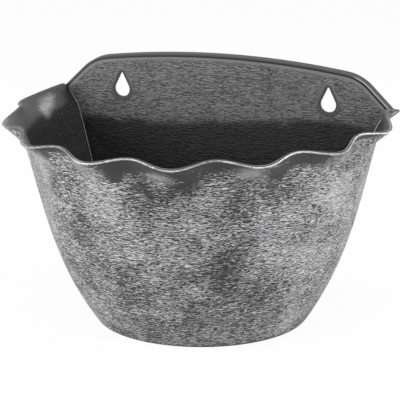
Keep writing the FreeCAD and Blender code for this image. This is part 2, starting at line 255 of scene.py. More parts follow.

# smooth places that the brush missed under the lip, placed as painted shade on the flare's sides
# turned away from the lamps, in the same terms
missedAndShadePatches = [
    (-14, 152, 12, 10, 1.0), (3, 161, 16, 6, 0.9), (-46, 161, 10, 4, 0.5), (42, 153, 12, 8.5, 1.0),
    (62, 160, 15, 6, 0.9), (112, 151, 11, 9, 1.0), (128, 160, 14, 6, 0.9), (144, 157, 11, 6, 0.9),
    (-82, 158, 13, 9, 0.8), (-108, 154, 10, 12, 0.75), (-96, 138, 7, 9, 0.45),
    (214, 156, 12, 8, 0.6), (256, 152, 14, 10, 0.5), (20, 158, 22, 5, 0.7), (90, 157, 14, 5, 0.7),
    (165, 159, 16, 5, 0.5), (-30, 161, 16, 4, 0.4),
]
# smooth places that took a thin even wash of silver, placed as painted light on the lobes' lit
# sides and as a painted sheen where the body turns away at its left and right edges
washAndSheenPatches = [
    (-37, 153, 9, 12, 0.9), (-98, 150, 16, 14, 1.0), (20, 153, 11, 6, 0.6), (87, 155, 10, 6, 0.7),
    (180, 152, 14, 9, 0.7), (240, 152, 14, 10, 0.6), (-160, 156, 20, 10, 0.8),
    (-112, 128, 22, 22, 0.9), (-126, 95, 15, 42, 0.55), (262, 105, 34, 50, 0.6),
    (-105, 40, 14, 45, 0.35), (196, 40, 12, 40, 0.3),
]
# inside: a painted reflection in the left corner, and painted shade (-) at both ends, beside the
# back
reflectionAndShadePatches = [
    (-261, 160, 7, 5, 0.5), (-253, 156, 8, 4.5, 0.75), (-244, 152, 7, 4, 0.8),
    (-292, 156, 18, 20, -1.3), (272, 156, 34, 20, -1.0), (-205, 158, 24, 8, 0.12),
]
# how much silver and painted highlight the lip has: travel, half length and strength
lipPatches = [
    (-28, 13, 0.55), (-8, 16, 0.28), (28, 18, 0.36), (70, 5, 0.3), (95, 14, 0.42), (115, 14, 0.5),
    (138, 20, 0.25), (175, 16, 0.38), (206, 20, 0.5), (236, 14, 0.5), (-270, 55, -0.20),
    (-195, 40, -0.12), (-140, 30, -0.12), (286, 20, -0.1), (-82, 14, 0.1),
]
# the silver lies on the lip as two lines, partly a painted highlight along its outer and inner
# edges, given in rows above the wall's last one
lipLines = dict(plainSilver=0.22, gain=1.25, outerRow=1.8, outerFade=(0.8, 2.5),
                innerRow=8.8, innerFade=(0.8, 2.2), innerShare=0.35)


def bellSum(swaths, travel, height):
    # the sum of the swaths, each a bell that fades with the square of its distance
    total = np.zeros(np.broadcast(travel, height).shape)
    for place, level, halfLong, halfHigh, strength in swaths:
        far = ((travel / mm - place) / halfLong) ** 2 + ((height / mm - level) / halfHigh) ** 2
        total += strength * np.exp(-far)
    return total


def wallWobble(travel, height):
    # slow unevenness of the moulded wall: six seeded sine waves added up, from 0 to 1
    draw = np.random.default_rng(8153)
    waveCount, total = 6, 0
    for wave in range(waveCount):
        longWave, highWave = draw.uniform(14, 40) * mm, draw.uniform(9, 22) * mm
        turns = travel / longWave + height / highWave
        total = total + np.sin(2 * np.pi * turns + draw.uniform(0, 6.28))
    return total / (2 * waveCount) + 0.5


def buildBowl():
    # one grid that runs up the outer skin, over the lip and down the inner skin, from end to end of
    # the half-round plan, closed by flat faces under the foot, on the floor and at the wall
    h, foot, lip = bowl["bodyHeight"], bowl["footRound"], bowl["lipRound"]
    roundRows, lipRows = bowl["roundRows"], bowl["lipRows"]
    normalX, normalY = outlineNormal(0.0, stations)
    flatNormal = np.stack([normalX, normalY, np.zeros_like(normalX)], -1)
    base = outerSkin(0.0, stations)

    # the wall's rows, from the ground over the lip and down to the floor
    groundEdge = base - flatNormal * foot
    lowest = outerSkin(foot / h, stations)
    rows = cornerRows(groundEdge, base, lowest, roundRows)
    flareStart = 1 - bowl["flareHeight"] / h
    topShare = 1 - lip / h
    shares = np.concatenate([np.linspace(foot / h, flareStart, bowl["wallRows"])[1:],
                             np.linspace(flareStart, topShare, bowl["flareRows"])[1:]])
    signedTravel = np.sign(stations) * rimTravel(stations)
    for share in shares:
        level = share * h
        fade = smoothStep(*bowl["wobbleFromFoot"], level)
        fade = fade * (1 - smoothStep(*(h - down for down in bowl["wobbleFromRim"]), level))
        fade = fade * smoothStep(0, bowl["wobbleFromWall"], 2 - np.abs(stations))
        press = bowl["wobble"] * fade * wallWobble(signedTravel, level)
        rows.append(outerSkin(share, stations) - skinNormal(share, stations) * press[:, None])
    outsideCount = len(rows)
    rimOut, rimIn = outerSkin(1.0, stations), innerSkin(1.0, stations)
    crown = (rimOut + rimIn) / 2
    rows += cornerRows(rows[-1], rimOut, crown, lipRows)[1:]
    insideTop = innerSkin(topShare, stations)
    rows += cornerRows(crown, rimIn, insideTop, lipRows)[1:]
    lipCount = len(rows)
    bottomShare = innerShareAt(bowl["floorThickness"] + bowl["floorRound"], stations)
    for w in np.linspace(0, 1, bowl["insideRows"])[1:]:
        rows.append(innerSkin(topShare + (bottomShare - topShare) * w, stations))
    corner = innerSkin(innerShareAt(bowl["floorThickness"], stations), stations)
    corner[:, 2] = bowl["floorThickness"]
    floorEdge = corner - flatNormal * bowl["floorRound"]
    rows += cornerRows(rows[-1], corner, floorEdge, roundRows)[1:]
    wall = np.stack(rows)
    wall[:, [0, -1], 1] = plateFace + bowl["flangeDepth"]  # both ends lie in the wall's plane

    # the foot's hollow, the drains and the flat faces
    reach = 1 - bowl["footWidth"] / (bowl["flangeDepth"] + bowl["widestAhead"]) / 2
    hollowX, hollowY = planOutline(0.0, stations * reach)
    insetX, insetY = outlineNormal(0.0, stations * reach)
    hollow = np.stack([hollowX - insetX * bowl["footWidth"], hollowY - insetY * bowl["footWidth"],
                       np.zeros_like(hollowX)], -1)
    ceiling = hollow + [0, 0, bowl["footLift"]]
    drainPlaces = [(k * bowl["drainSpacing"], plateFace - bowl["drainAhead"]) for k in (-1, 0, 1)]
    under = [ring(x, y, bowl["footLift"], bowl["drainRadius"]) for x, y in drainPlaces]
    over = [ring(x, y, bowl["floorThickness"], bowl["drainRadius"]) for x, y in drainPlaces]
    backLoop = np.concatenate([wall[:, 0], wall[::-1, -1]])
    # each loop of the hollow ends on its own first point
    hollowRows = [np.concatenate([loop, loop[:1]]) for loop in (hollow, ceiling)]
    floorNumber = 4  # the floor's place in this list
    patches = [
        gridPatch(wall),
        flatPatch([wall[0], hollow], (0, 0, -1)),
        gridPatch(np.stack(hollowRows)),
        flatPatch([ceiling] + under, (0, 0, -1)),
        flatPatch([wall[-1]] + over, (0, 0, 1)),
        flatPatch([backLoop], (0, 1, 0)),
    ] + [gridPatch(np.stack([low, high]), closed=True) for low, high in zip(under, over)]

    # zones for the finish: the lip's silver and painted highlight, the inside, the smooth places
    # under the lip with painted shade, the thin wash of silver with painted light (inside: the
    # painted reflection and painted shade), and the brush's pressure with painted light and shade
    rowIndex = np.arange(len(rows))[:, None] + np.zeros((1, len(stations)))
    flatCount = sum(len(patch[0]) for patch in patches[1:])
    lipMiddle = (outsideCount + lipCount) / 2
    fromOuter = np.abs(rowIndex - outsideCount - lipLines["outerRow"])
    fromInner = np.abs(rowIndex - outsideCount - lipLines["innerRow"])
    lines = 1 - smoothStep(*lipLines["outerFade"], fromOuter)
    lines = lines + lipLines["innerShare"] * (1 - smoothStep(*lipLines["innerFade"], fromInner))
    lipSilverAndHighlight = lipLines["plainSilver"] + sum(
        strength * np.exp(-((signedTravel / mm - place) / halfLong) ** 2)
        for place, halfLong, strength in lipPatches)
    lipSilverHighlightZone = lipLines["gain"] * lipSilverAndHighlight * lines
    insideZone = smoothStep(lipMiddle - 2, lipMiddle + 1, rowIndex)
    height = wall[..., 2]
    missedAndShade = bellSum(missedAndShadePatches, signedTravel, height)
    missedAndShade = missedAndShade + smoothStep(-4 * mm, 0, height - h)  # no patch ends right at the lip
    smoothShadeZone = np.where(rowIndex < lipCount, np.minimum(missedAndShade, 1.2) - 0.5, 1.0)
    washLightShadeZone = np.where(rowIndex < lipCount, bellSum(washAndSheenPatches, signedTravel, height),
                        bellSum(reflectionAndShadePatches, signedTravel, height))
    pressureAndLight = bellSum(brushAndLightSwaths, signedTravel, height)
    floorFlat = np.concatenate([np.full(len(patch[0]), float(number == floorNumber))
                                for number, patch in enumerate(patches) if number > 0])
    zones = {
        "lipSilverHighlightZone": [lipSilverHighlightZone.ravel(), np.zeros(flatCount)],
        "insideZone": [insideZone.ravel(), floorFlat],
        "smoothShadeZone": [np.clip(smoothShadeZone, -1, 1).ravel(), np.full(flatCount, -1.0)],
        "washLightShadeZone": [washLightShadeZone.ravel(), np.zeros(flatCount)],
        "brushLightZone": [pressureAndLight.ravel(), np.full(flatCount, -1.2)],
    }
    return meshFrom("bowlShell", patches, zones)


# the back plate's shape: crowned tray with rounded edge, ribs and two bordered teardrops

plate = dict(
    wall=2.5 * mm, edgeRound=2 * mm, bondGap=0.3 * mm, earRise=0.4 * mm, shoulderAngle=45,
    shoulderRadius=36 * mm, crownRise=33.6 * mm, crownRadius=712 * mm, ribThickness=2 * mm,
    ribHalfSpacing=44 * mm, ribHeight=104 * mm, ribFoot=1 * mm, ribSink=1 * mm,
    ribClear=0.02 * mm, holeRadius=6.5 * mm, tipRadius=0.9 * mm, tipRise=12.9 * mm,
    holeHalfSpacing=86.5 * mm, holeRise=0.7 * mm, borderWidth=3.2 * mm, borderRise=0.8 * mm,
    borderRound=0.45 * mm, borderLean=0.3 * mm, sidePoints=90, shoulderPoints=1, arcPoints=40,
    crownPoints=90, roundRows=8, borderRows=4, sideShare=0.35,
    ringSteps=(0.35 * mm, 0.9 * mm, 2.2 * mm, 4.0 * mm),
)


edgeNumber, borderNumber = 2, 1  # places of these finishes among the plate's materials
tableHeights = np.linspace(2, 190, 190) * mm
sideTables = {}


def sideTable(y, corrections=3):
    # the bowl's inside half width at every table height, for one distance behind the plate's face;
    # each correction moves the station by the distance that is still missing
    if y not in sideTables:
        run = bowl["flangeDepth"] + bowl["widestAhead"]
        station = np.full(tableHeights.shape, 1 + (y + bowl["widestAhead"]) / run)
        for correction in range(corrections):
            point = innerSkin(innerShareAt(tableHeights, station), station)
            station = station + (y + plateFace - point[..., 1]) / run
        sideTables[y] = (point[..., 2], point[..., 0])
    return sideTables[y]


def plateSideX(height, y, inset):
    # the bowl's inside half width at this height and place, less the glue gap and the inset, which
    # are measured square to the leaning wall
    heights, widths = sideTable(y)
    above, below = (np.interp(height + step, heights, widths) for step in (mm, -mm))
    lean = (above - below) / (2 * mm)
    return np.interp(height, heights, widths) - (plate["bondGap"] + inset) * np.hypot(1, lean)


def plateOutline(y, inset, sideInset=None):
    # up the side, along the shoulder's line, round its arc and over the crown, then mirrored back;
    # the sides take an inset of their own where one is given
    sideInset = inset if sideInset is None else sideInset
    slope = math.radians(plate["shoulderAngle"])
    outward = np.array([math.sin(slope), math.cos(slope)])
    upward = np.array([-math.cos(slope), math.sin(slope)])
    earHeight = bowl["bodyHeight"] + plate["earRise"]
    earX = plateSideX(np.array([earHeight]), 0.0, 0.0)[0]
    offset = np.array([earX, earHeight]) @ outward - inset
    searchSpan, halvings = 10 * mm, 24
    low, high = np.array([earHeight - searchSpan]), np.array([earHeight + searchSpan])
    for halving in range(halvings):
        height = (low + high) / 2
        x = plateSideX(height, y, sideInset)
        under = x * outward[0] + height * outward[1] < offset
        low, high = np.where(under, height, low), np.where(under, high, height)
    cornerPoint = np.array([x[0], height[0]])

    crownRadius, arcRadius = plate["crownRadius"] - inset, plate["shoulderRadius"] - inset
    crownCentre = np.array([0, bowl["bodyHeight"] + plate["crownRise"] - plate["crownRadius"]])
    foot = outward * (offset - arcRadius)
    across = upward @ (foot - crownCentre)
    excess = (foot - crownCentre) @ (foot - crownCentre) - (crownRadius - arcRadius) ** 2
    arcCentre = foot + upward * (math.sqrt(across ** 2 - excess) - across)
    spread = unit(arcCentre - crownCentre)
    endAngle = math.atan2(spread[0], spread[1])
    arcAngles = np.linspace(slope, endAngle, plate["arcPoints"] + 1)
    arc = arcCentre + arcRadius * np.stack([np.sin(arcAngles), np.cos(arcAngles)], -1)
    crownAngles = np.linspace(endAngle, 0, plate["crownPoints"] + 1)[1:]
    crown = crownCentre + crownRadius * np.stack([np.sin(crownAngles), np.cos(crownAngles)], -1)

    lowest = bowl["floorThickness"] + plate["bondGap"] + sideInset
    rise = np.sin(np.linspace(0, np.pi / 2, plate["sidePoints"] + 1))[:-1]
    sideZ = lowest + (cornerPoint[1] - lowest) * rise
    side = np.stack([plateSideX(sideZ, y, sideInset), sideZ], -1)
    alongLine = np.linspace(0, 1, plate["shoulderPoints"] + 1)[:-1, None]
    line = cornerPoint + (arc[0] - cornerPoint) * alongLine
    right = np.concatenate([side, line, arc, crown])
    outline = np.concatenate([right, right[-2::-1] * [-1, 1]])
    return np.stack([outline[:, 0], np.full(len(outline), y + plateFace), outline[:, 1]], -1)


def teardrop(side, growth, y, count=36):
    # a round bottom and a small round tip joined by two tangent lines, grown all round
    radius, tip = plate["holeRadius"] + growth, plate["tipRadius"] + growth
    lean = math.asin((radius - tip) / plate["tipRise"])
    bottom = np.linspace(math.pi - lean, 2 * math.pi + lean, count)
    top = np.linspace(lean, math.pi - lean, count // 2)
    x = np.concatenate([radius * np.cos(bottom), tip * np.cos(top)])
    z = np.concatenate([radius * np.sin(bottom), plate["tipRise"] + tip * np.sin(top)])
    middle = bowl["bodyHeight"] + plate["holeRise"]
    return np.stack([x + side * plate["holeHalfSpacing"], np.full(len(x), y + plateFace),
                     z + middle], -1)


def barPatch(lowX, highX, lowY, highY, lowZ, highZ):
    # a rib: a plain box whose ends sit inside the walls that it joins
    corners = [(x, y, z) for x in (lowX, highX) for y in (lowY, highY) for z in (lowZ, highZ)]
    sidesOfBar = [(0, 4, 5, 1), (2, 3, 7, 6), (0, 1, 3, 2),
                  (4, 6, 7, 5), (0, 2, 6, 4), (1, 5, 7, 3)]
    return np.array(corners), sidesOfBar


def buildPlate():
    # a stack of outlines: inside the flange, up its outside, round the edge by a quarter circle and
    # a little way over the face; flat faces with both holes cut out close it in front and behind.
    # edgeZone is 0 on the flange, the sine of the angle on the rounding, and 1 to 2 over the face
    deep, wall, edge = bowl["flangeDepth"], plate["wall"], plate["edgeRound"]
    sideShare = plate["sideShare"]
    outer = [plateOutline(deep, 0.0), plateOutline(edge * 2, 0.0)]
    edgeValues = [0.0, 0.0]
    for angle in np.radians(np.linspace(0, 90, plate["roundRows"] + 1)):
        inset = edge * (1 - math.cos(angle))
        outer.append(plateOutline(edge * (1 - math.sin(angle)), inset, inset * sideShare))
        edgeValues.append(math.sin(angle))
    for further in plate["ringSteps"]:
        outer.append(plateOutline(0.0, edge + further, edge * sideShare + further))
        edgeValues.append(1 + further / plate["ringSteps"][-1])
    faceLoop = outer[-1]
    inner = [plateOutline(wall, wall), plateOutline(deep, wall)]
    shell = np.stack(inner + outer)
    rise, soft, borderRows = plate["borderRise"], plate["borderRound"], plate["borderRows"]
    grow, lean = plate["borderWidth"], plate["borderLean"]
    flangeRows, around = len(inner) + 1, shell.shape[1]
    patches = [gridPatch(shell[:flangeRows + 1], closed=True),
               (*gridPatch(shell[flangeRows:], closed=True), edgeNumber)]
    edgeZone = [np.zeros((flangeRows + 1) * around),
                np.repeat(edgeValues[flangeRows - len(inner):], around)]
    frontHoles, backHoles = [], []
    for side in (-1, 1):
        # up from the face, over the border and through the hole, with edgeZone going from 0 to 1
        border = [teardrop(side, grow, 0.0), teardrop(side, grow - lean / 2, -rise + soft)]
        border += cornerRows(border[-1], teardrop(side, grow - lean, -rise),
                             teardrop(side, grow - lean - soft, -rise), borderRows)[1:]
        border += cornerRows(teardrop(side, soft, -rise), teardrop(side, 0, -rise),
                             teardrop(side, 0, -rise + soft), borderRows)
        border += [teardrop(side, 0, wall)]
        frontHoles.append(border[0])
        backHoles.append(border[-1])
        patches.append((*gridPatch(np.stack(border), closed=True), borderNumber))
        edgeZone.append(np.repeat(np.linspace(0, 1, len(border)), len(border[0])))
    frontFace = flatPatch([faceLoop] + frontHoles, (0, -1, 0))
    backFace = flatPatch([inner[0]] + backHoles, (0, 1, 0))
    edgeZone.append(np.repeat([2.0, 0.0], [len(faceLoop), len(frontFace[0]) - len(faceLoop)]))
    edgeZone.append(np.zeros(len(backFace[0])))
    tray = meshFrom("backTray", patches + [frontFace, backFace], {"edgeZone": edgeZone})

    # two upright ribs and a level one, whose ends sink into the face and the flange
    half, ribX, sink = plate["ribThickness"] / 2, plate["ribHalfSpacing"], plate["ribSink"]
    backY, frontY = deep + plateFace - plate["ribClear"], wall + plateFace - sink
    lowZ = bowl["floorThickness"] + plate["bondGap"] + plate["ribFoot"]
    crownZ = bowl["bodyHeight"] + plate["crownRise"] - plate["crownRadius"]
    topZ = crownZ + math.sqrt(plate["crownRadius"] ** 2 - (ribX + half) ** 2) - sink
    ribs = [barPatch(x - half, x + half, frontY, backY, lowZ, topZ) for x in (-ribX, ribX)]
    level = plate["ribHeight"]
    reachX = plateSideX(np.array([level]), deep, 0.0)[0] - sink
    ribs.append(barPatch(-reachX, reachX, frontY, backY, level, level + 2 * half))
    return tray, meshFrom("trayRibs", ribs)


# finishes

# among these colours, the lip's near-white is partly a painted highlight, the washed silver partly
# painted light, the smear a painted reflection, the seam's pale grey a painted highlight, and the
# near-black of the bowl's inside and of the plate's bare face painted shade
plastic = dict(
    dark=(0.030, 0.030, 0.031), silver=(0.33, 0.33, 0.334), glint=(0.62, 0.62, 0.63),
    smooth=(0.034, 0.034, 0.035), silverWashAndSheen=(0.27, 0.27, 0.273), lip=(0.80, 0.80, 0.81),
    inside=(0.008, 0.008, 0.0085), insideTop=(0.060, 0.060, 0.061), paintedReflection=(0.32, 0.32, 0.325),
    plateLow=(0.048, 0.048, 0.049), plateHigh=(0.170, 0.170, 0.172),
    plateBareShade=(0.010, 0.010, 0.0105), flange=(0.045, 0.045, 0.046), line=(0.010, 0.010, 0.0105),
    band=(0.17, 0.17, 0.172), sheen=(0.26, 0.26, 0.264), seamHighlight=(0.62, 0.62, 0.63),
    border=(0.085, 0.085, 0.086), borderLine=(0.030, 0.030, 0.031), halo=(0.19, 0.19, 0.192),
    back=(0.026, 0.026, 0.027),
)
# pairs are a ramp's low and high end, and four are these and its two values
grainLook = dict(
    bendScale=70.0, ridgeNoise=(0.32, 0.68, -0.05, 0.63), crest=(-1.0, 1.0, -0.24, 0.60),
    throwScale=(170.0, 170.0, 430.0), throwTurns=3.4, speckScale=1500.0,
    swathScale=(34.0, 34.0, 46.0),
)
bowlLook = dict(
    grain=dict(Size=1050.0, Stretch=0.19, Bend=0.006, Pitch=1.85 * mm), uneven=1.5, specks=0.85,
    silver=(0.18, 0.87), glint=(0.78, 1.30), glintPressure=0.5, ragged=1.1, raggedGrain=0.5,
    bareShade=(-0.06, 0.12), washAndSheen=(0.15, 0.75), washAndSheenRagged=0.4, washAndSheenOver=0.42, flareTop=(0.1475, 0.1535),
    flareSpecks=0.004, paintedReflection=(0.1, 0.9), reflectionRagged=0.5, insideGrain=(0.1, 1.0, 0.0, 0.09),
    lipGrain=(-0.1, 0.8, 0.45, 1.2), lipSpecks=(0.36, 0.60, 0.4, 1.25), lipStart=(0.0, 0.2),
    footLine=(0.0006, 0.0022), specular=0.22, roughness=(0.48, 0.40), bumpStrength=0.7,
    bumpDepth=0.6 * mm,
)
plateLook = dict(
    grain=dict(Size=760.0, Stretch=0.16, Bend=0.004, Pitch=2.15 * mm),
    paintAndShadowLine=(-0.06, 0.08, 0.1415, 0.151), lineWander=0.02, lineFade=(-0.005, 0.004), uneven=0.8,
    brushed=(-0.1, 1.0), bareShadeGain=2.2, behind=(1.0 * mm, 2.0 * mm), bandFade=(1.45, 1.95),
    lineEdge=(1.05, 1.2), rightSlope=(0.104, 0.112), sheenIn=(0.25, 0.5), sheenOut=(0.9, 0.7),
    roundingEnd=(0.75, 0.95), seamEnd=(1.05, 1.15), aboveBowl=(0.157, 0.163), holeLine=(0.45, 0.62),
    haloEnd=(0.06, 0.22), relief=dict(face=0.6, edge=0.15, border=0.1), roughness=0.46,
    specular=0.25, bumpDepth=0.5 * mm,
)


def nodeMaker(tree):
    # returns a short way to add a node, set its values and wire its inputs
    def add(kind, values=None, inputs=None, **settings):
        node = tree.nodes.new(kind)
        for key, value in settings.items():
            setattr(node, key, value)
        for key, value in (values or {}).items():
            node.inputs[key].default_value = value
        for key, source in (inputs or {}).items():
            tree.links.new(source, node.inputs[key])
        return node
    return add


def makeCalc(add):
    # returns a short way to work out a value from one or two others, as numbers or sockets
    def calc(kind, first, second=0.0):
        node = add("ShaderNodeMath", operation=kind)
        for index, value in enumerate((first, second)):
            if isinstance(value, (int, float)):
                node.inputs[index].default_value = value
            else:
                node.id_data.links.new(value, node.inputs[index])
        return node.outputs[0]
    return calc


def ramp(add, source, low, high, lowValue=0.0, highValue=1.0, curve="SMOOTHSTEP"):
    # lowValue below low, highValue above high, an S curve between
    node = add("ShaderNodeMapRange", {1: low, 2: high, 3: lowValue, 4: highValue}, {0: source},
               interpolation_type=curve)
    return node.outputs[0]


def straightRamp(add, source, *ends):
    # the same with a straight line between
    return ramp(add, source, *ends, curve="LINEAR")


def makeGrain():
    # Height: wavy level ridges, a sine up the wall whose phase is thrown about by a slow noise,
    # broken up by a noise stretched round the wall. Brush: broad uneven patches. Fine: specks.
    group = bpy.data.node_groups.new("wavyGrain", "ShaderNodeTree")
    for name, default in bowlLook["grain"].items():
        socket = group.interface.new_socket(name, in_out="INPUT", socket_type="NodeSocketFloat")
        socket.default_value = default
    for name in ("Height", "Brush", "Fine"):
        group.interface.new_socket(name, in_out="OUTPUT", socket_type="NodeSocketFloat")
    add = nodeMaker(group)
    enter, leave = add("NodeGroupInput"), add("NodeGroupOutput")
    place = add("ShaderNodeTexCoord")
    here = {"Vector": place.outputs["Object"]}
    calc = makeCalc(add)
    bend = add("ShaderNodeTexNoise",
               {"Scale": grainLook["bendScale"], "Detail": 2.5, "Roughness": 0.55}, here)
    bendHeight = calc("MULTIPLY", calc("SUBTRACT", bend.outputs["Fac"], 0.5), enter.outputs["Bend"])
    bent = add("ShaderNodeCombineXYZ", None, {"Z": bendHeight})
    moved = add("ShaderNodeVectorMath", None, {0: place.outputs["Object"], 1: bent.outputs[0]},
                operation="ADD")
    bentPlace = {"Vector": moved.outputs[0]}

    stretch = add("ShaderNodeCombineXYZ", {"Z": 1.0},
                  {"X": enter.outputs["Stretch"], "Y": enter.outputs["Stretch"]})
    stretched = add("ShaderNodeVectorMath", None, {0: moved.outputs[0], 1: stretch.outputs[0]},
                    operation="MULTIPLY")
    sized = add("ShaderNodeVectorMath", None,
                {0: stretched.outputs[0], "Scale": enter.outputs["Size"]}, operation="SCALE")
    ridges = add("ShaderNodeTexNoise",
                 {"Scale": 1.0, "Detail": 3.0, "Roughness": 0.62, "Distortion": 0.3},
                 {"Vector": sized.outputs[0]})
    broad = straightRamp(add, ridges.outputs["Fac"], *grainLook["ridgeNoise"])

    throwPlace = add("ShaderNodeMapping", {"Scale": grainLook["throwScale"]}, bentPlace)
    throw = add("ShaderNodeTexNoise", {"Scale": 1.0, "Detail": 2.0, "Roughness": 0.6},
                {"Vector": throwPlace.outputs[0]})
    thrown = calc("MULTIPLY", throw.outputs["Fac"], grainLook["throwTurns"])
    level = add("ShaderNodeSeparateXYZ", None, bentPlace)
    turns = calc("ADD", calc("DIVIDE", level.outputs["Z"], enter.outputs["Pitch"]), thrown)
    wave = calc("SINE", calc("MULTIPLY", turns, 2 * math.pi))
    height = calc("ADD", broad, straightRamp(add, wave, *grainLook["crest"]))

    speck = add("ShaderNodeTexNoise",
                {"Scale": grainLook["speckScale"], "Detail": 2.0, "Roughness": 0.7}, bentPlace)
    swathPlace = add("ShaderNodeMapping", {"Scale": grainLook["swathScale"]}, here)
    swath = add("ShaderNodeTexNoise",
                {"Scale": 1.0, "Detail": 4.0, "Roughness": 0.6, "Distortion": 0.5},
                {"Vector": swathPlace.outputs[0]})
    for name, source in (("Height", height), ("Brush", swath.outputs["Fac"]),
                         ("Fine", speck.outputs["Fac"])):
        group.links.new(source, leave.inputs[name])
    return group


def newMaterial(name):
    # a material with nothing but its shader, wired to the output
    material = bpy.data.materials.new(name)
    material.use_nodes = True
    tree = material.node_tree
    tree.nodes.clear()
    add = nodeMaker(tree)
    shader, output = add("ShaderNodeBsdfPrincipled"), add("ShaderNodeOutputMaterial")
    tree.links.new(shader.outputs["BSDF"], output.inputs["Surface"])
    return material, tree, add, shader


def mixColour(add, share, first, second):
    # first where share is 0, second where it is 1
    node = add("ShaderNodeMix", data_type="RGBA")
    for index, value in ((6, first), (7, second)):
        if isinstance(value, tuple):
            node.inputs[index].default_value = (*value, 1.0)
        else:
            node.id_data.links.new(value, node.inputs[index])
    node.id_data.links.new(share, node.inputs[0])
    return node.outputs[2]


def grainNode(add, grain, values):
    # the shared grain with this finish's own values
    node = add("ShaderNodeGroup", values, node_tree=grain)
    return node.outputs["Height"], node.outputs["Brush"], node.outputs["Fine"]


def placeAxes(add):
    # the place on the object, as X, Y and Z
    place = add("ShaderNodeTexCoord")
    return add("ShaderNodeSeparateXYZ", None, {"Vector": place.outputs["Object"]}).outputs


def paintBowl(grain):
    look = bowlLook
    material, tree, add, shader = newMaterial("silveredPlastic")
    calc = makeCalc(add)
    height, brush, fine = grainNode(add, grain, look["grain"])
    axes = placeAxes(add)
    zone = {name: add("ShaderNodeAttribute", attribute_name=name).outputs["Fac"]
            for name in ("lipSilverHighlightZone", "insideZone", "smoothShadeZone", "washLightShadeZone", "brushLightZone")}

    # the brush leaves silver on the ridges' tops, and further down where it pressed harder; the
    # swaths also carry painted light and painted shade over the body
    patches, specks = calc("SUBTRACT", brush, 0.5), calc("SUBTRACT", fine, 0.5)
    pressureAndLight = calc("ADD", zone["brushLightZone"], calc("MULTIPLY", patches, look["uneven"]))
    top = calc("ADD", height, calc("MULTIPLY", specks, look["specks"]))
    silver = ramp(add, calc("ADD", top, pressureAndLight), *look["silver"])
    glintTop = calc("ADD", top, calc("MULTIPLY", pressureAndLight, look["glintPressure"]))
    outside = mixColour(add, silver, plastic["dark"], plastic["silver"])
    outside = mixColour(add, ramp(add, glintTop, *look["glint"]), outside, plastic["glint"])

    # smooth places, some of them painted shade, and the thin wash of silver, partly painted light,
    # both with edges torn by the grain
    ragged = calc("MULTIPLY", calc("ADD", patches, specks), look["ragged"])
    ridge = calc("MULTIPLY", calc("SUBTRACT", height, 0.5), look["raggedGrain"])
    ragged = calc("SUBTRACT", ragged, ridge)
    bareShade = ramp(add, calc("ADD", zone["smoothShadeZone"], ragged), *look["bareShade"])
    washAndSheenEdge = calc("MULTIPLY", ragged, look["washAndSheenRagged"])
    washAndSheen = ramp(add, calc("ADD", zone["washLightShadeZone"], washAndSheenEdge), *look["washAndSheen"])
    even = mixColour(add, washAndSheen, plastic["smooth"], plastic["silverWashAndSheen"])
    outside = mixColour(add, calc("MULTIPLY", washAndSheen, look["washAndSheenOver"]), outside, plastic["silverWashAndSheen"])
    outside = mixColour(add, bareShade, outside, even)

    # inside, the wall below the flare is near-black as painted shade, the flare is a little paler,
    # one corner has a painted reflection, and both ends beside the back have painted shade
    flareEdge = calc("ADD", axes["Z"], calc("MULTIPLY", specks, look["flareSpecks"]))
    flareTone = ramp(add, flareEdge, *look["flareTop"])
    flareTone = calc("ADD", flareTone, calc("MINIMUM", zone["washLightShadeZone"], 0.0))
    inner = mixColour(add, ramp(add, flareTone, 0.0, 1.0), plastic["inside"], plastic["insideTop"])
    reflectionEdge = calc("MULTIPLY", ragged, look["reflectionRagged"])
    paintedReflection = ramp(add, calc("ADD", zone["washLightShadeZone"], reflectionEdge), *look["paintedReflection"])
    inner = mixColour(add, paintedReflection, inner, plastic["paintedReflection"])
    inner = mixColour(add, ramp(add, top, *look["insideGrain"]), inner, plastic["silverWashAndSheen"])

    # the grain breaks the lip's lines of silver and painted highlight, and the foot has a dark line
    # where it meets the ground
    body = mixColour(add, zone["insideZone"], outside, inner)
    chips = calc("MULTIPLY", ramp(add, height, *look["lipGrain"]),
                 ramp(add, fine, *look["lipSpecks"]))
    colour = mixColour(add, calc("MULTIPLY", zone["lipSilverHighlightZone"], chips), body, plastic["lip"])
    colour = mixColour(add, ramp(add, axes["Z"], *look["footLine"]), plastic["dark"], colour)
    tree.links.new(colour, shader.inputs["Base Color"])
    shader.inputs["Specular IOR Level"].default_value = look["specular"]
    roughness = ramp(add, silver, 0.0, 1.0, *look["roughness"])
    tree.links.new(roughness, shader.inputs["Roughness"])
    onLip = ramp(add, zone["lipSilverHighlightZone"], *look["lipStart"])
    plain = calc("MAXIMUM", bareShade, calc("MAXIMUM", zone["insideZone"], onLip))
    relief = calc("MULTIPLY", height, calc("SUBTRACT", 1.0, plain))
    bump = add("ShaderNodeBump", {"Strength": look["bumpStrength"], "Distance": look["bumpDepth"]},
               {"Height": relief})
    tree.links.new(bump.outputs[0], shader.inputs["Normal"])
    return material


